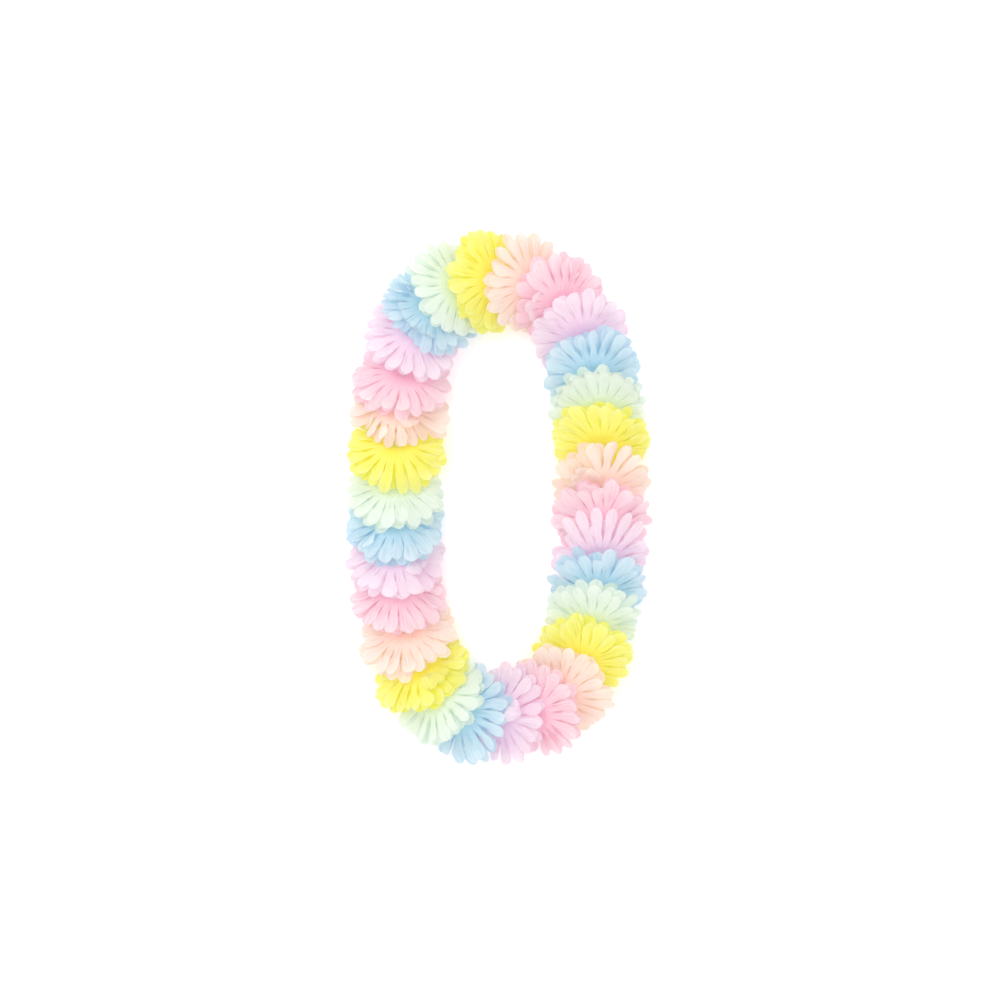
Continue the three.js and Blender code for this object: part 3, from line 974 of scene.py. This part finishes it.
corners = np.concatenate([
    [hub - TUBE_STANDS_OFF * front, hub + TUBE_STANDS_OFF * front] for hub, front in zip(hubs, fronts)
])
corners = np.concatenate([corners, corners[:1]])
walked_cord = np.concatenate([[0], np.cumsum(np.linalg.norm(np.diff(corners, axis=0), axis=1))])
cord_length = walked_cord[-1]
turns = round(cord_length / PLY_PITCH)
stations = np.linspace(0, cord_length, turns * STATIONS_A_TURN, endpoint=False)
line = np.stack([np.interp(stations, walked_cord, corners[:, axis]) for axis in range(3)], axis=1)
across, up = axes_along(line, True, UP)
cord_parts = []
for ply in range(PLIES):
    twist = stations[:, None] / cord_length * turns * 2 * math.pi + ply * 2 * math.pi / PLIES
    wound = line + PLY_RADIUS * (across * np.cos(twist) + up * np.sin(twist))
    cord_parts.append(skin(wound, *axes_along(wound, True, UP), PLY_RADIUS, PLY_SIDES, closed=True))
print("cord in mm:", round(cord_length / MM, 1), "turns of its plies:", turns)

# %% The knot
KNOT_SIZE = 0.85 * MM
KNOT_CORD = 0.75 * MM  # the cord's radius where it is pulled tight
KNOT_POINTS = 72
KNOT_SIDES = 8
knot_at = (corners[-2] + corners[0]) / 2
cord_way = corners[0] - corners[-2]
cord_way /= np.linalg.norm(cord_way)
cord_side = np.cross(UP, cord_way)
t = np.linspace(0, 2 * math.pi, KNOT_POINTS, endpoint=False)
trefoil = KNOT_SIZE * np.stack([
    -np.sin(3 * t),
    np.sin(t) + 2 * np.sin(2 * t),
    np.cos(t) - 2 * np.cos(2 * t),
], axis=1)
knot = knot_at + trefoil @ np.stack([cord_way, cord_side, UP])
inward = knot.mean(axis=0) - knot  # the knot's line stands upright in places, where UP won't do
cord_parts.append(skin(knot, *axes_along(knot, True, inward), KNOT_CORD, KNOT_SIDES, closed=True))
print("knot in mm:", np.round(np.ptp(knot, axis=0) / MM, 1))

# %% The cut ends, and all of it as one piece
TAIL_LENGTH = 7 * MM
TAIL_RISE = math.radians(14)
TAIL_POINTS = 12
TAIL_TWIST = 9  # radians over its length
TAIL_TAPER = 0.7
PLIES_APART = 0.8  # of a ply's radius, at the knot
FRAYED = 1.6  # and how much further at the cut end
FRAYS_LATE = 4  # the power of the way out

out = np.linspace(0, 1, TAIL_POINTS)[:, None]
for way in (-1, 1):
    middle = knot_at + out * TAIL_LENGTH * (
        way * math.cos(TAIL_RISE) * cord_way + math.sin(TAIL_RISE) * UP
    )
    for ply in range(PLIES):
        twist = out * TAIL_TWIST + ply * 2 * math.pi / PLIES
        apart = PLY_RADIUS * (PLIES_APART + FRAYED * out**FRAYS_LATE)
        ply_line = middle + apart * (np.cos(twist) * cord_side + np.sin(twist) * UP)
        radii = PLY_RADIUS * np.linspace(1, TAIL_TAPER, TAIL_POINTS)
        cord_parts.append(skin(ply_line, *axes_along(ply_line, False, UP), radii, PLY_SIDES, closed=False))
cord = add_piece("cord", cord_parts, cord_white)
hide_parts("thread")
print("cord points:", len(cord.data.vertices))

# %% [markdown]
# ## Table and light
# The photograph was lit softly from all round, on white. The sky gives that even light, and one
# large lamp above the photograph's upper left gives the petals their soft shade. The table glows
# faintly, which keeps it white under the lei as the photograph has it.

# %% Table, sky and lamp
TABLE_HALF = 3  # metres
SKY = 1.02
LAMP_SIZE = 1.2  # metres
LAMP_POWER = 8  # watts
LAMP_AT = (-0.8, 0.9, 1.8)
LIGHT_BOUNCES = 8  # light passes through many layers of pale cloth

table_corners = [(x * TABLE_HALF, y * TABLE_HALF, 0) for x, y in ((-1, -1), (1, -1), (1, 1), (-1, 1))]
table_mesh = bpy.data.meshes.new("table")
table_mesh.from_pydata(table_corners, [], [(0, 1, 2, 3)])
table_mesh.materials.append(plain("white_table", 0xFDFDFD, roughness=0.8, glow=0.22))
table = bpy.data.objects.new("table", table_mesh)
bpy.context.scene.collection.objects.link(table)

world = bpy.data.worlds.new("studio")
bpy.context.scene.world = world
world.use_nodes = True
world.node_tree.nodes["Background"].inputs["Color"].default_value = WHITE
world.node_tree.nodes["Background"].inputs["Strength"].default_value = SKY

lamp_data = bpy.data.lights.new("softbox", "AREA")
lamp_data.size = LAMP_SIZE
lamp_data.energy = LAMP_POWER
lamp = bpy.data.objects.new("softbox", lamp_data)
bpy.context.scene.collection.objects.link(lamp)
lamp.location = LAMP_AT
lamp.rotation_euler = (-lamp.location).to_track_quat("-Z", "Y").to_euler()

bpy.context.scene.view_settings.view_transform = "Standard"
bpy.context.scene.cycles.diffuse_bounces = LIGHT_BOUNCES
print("lamp at", LAMP_AT)
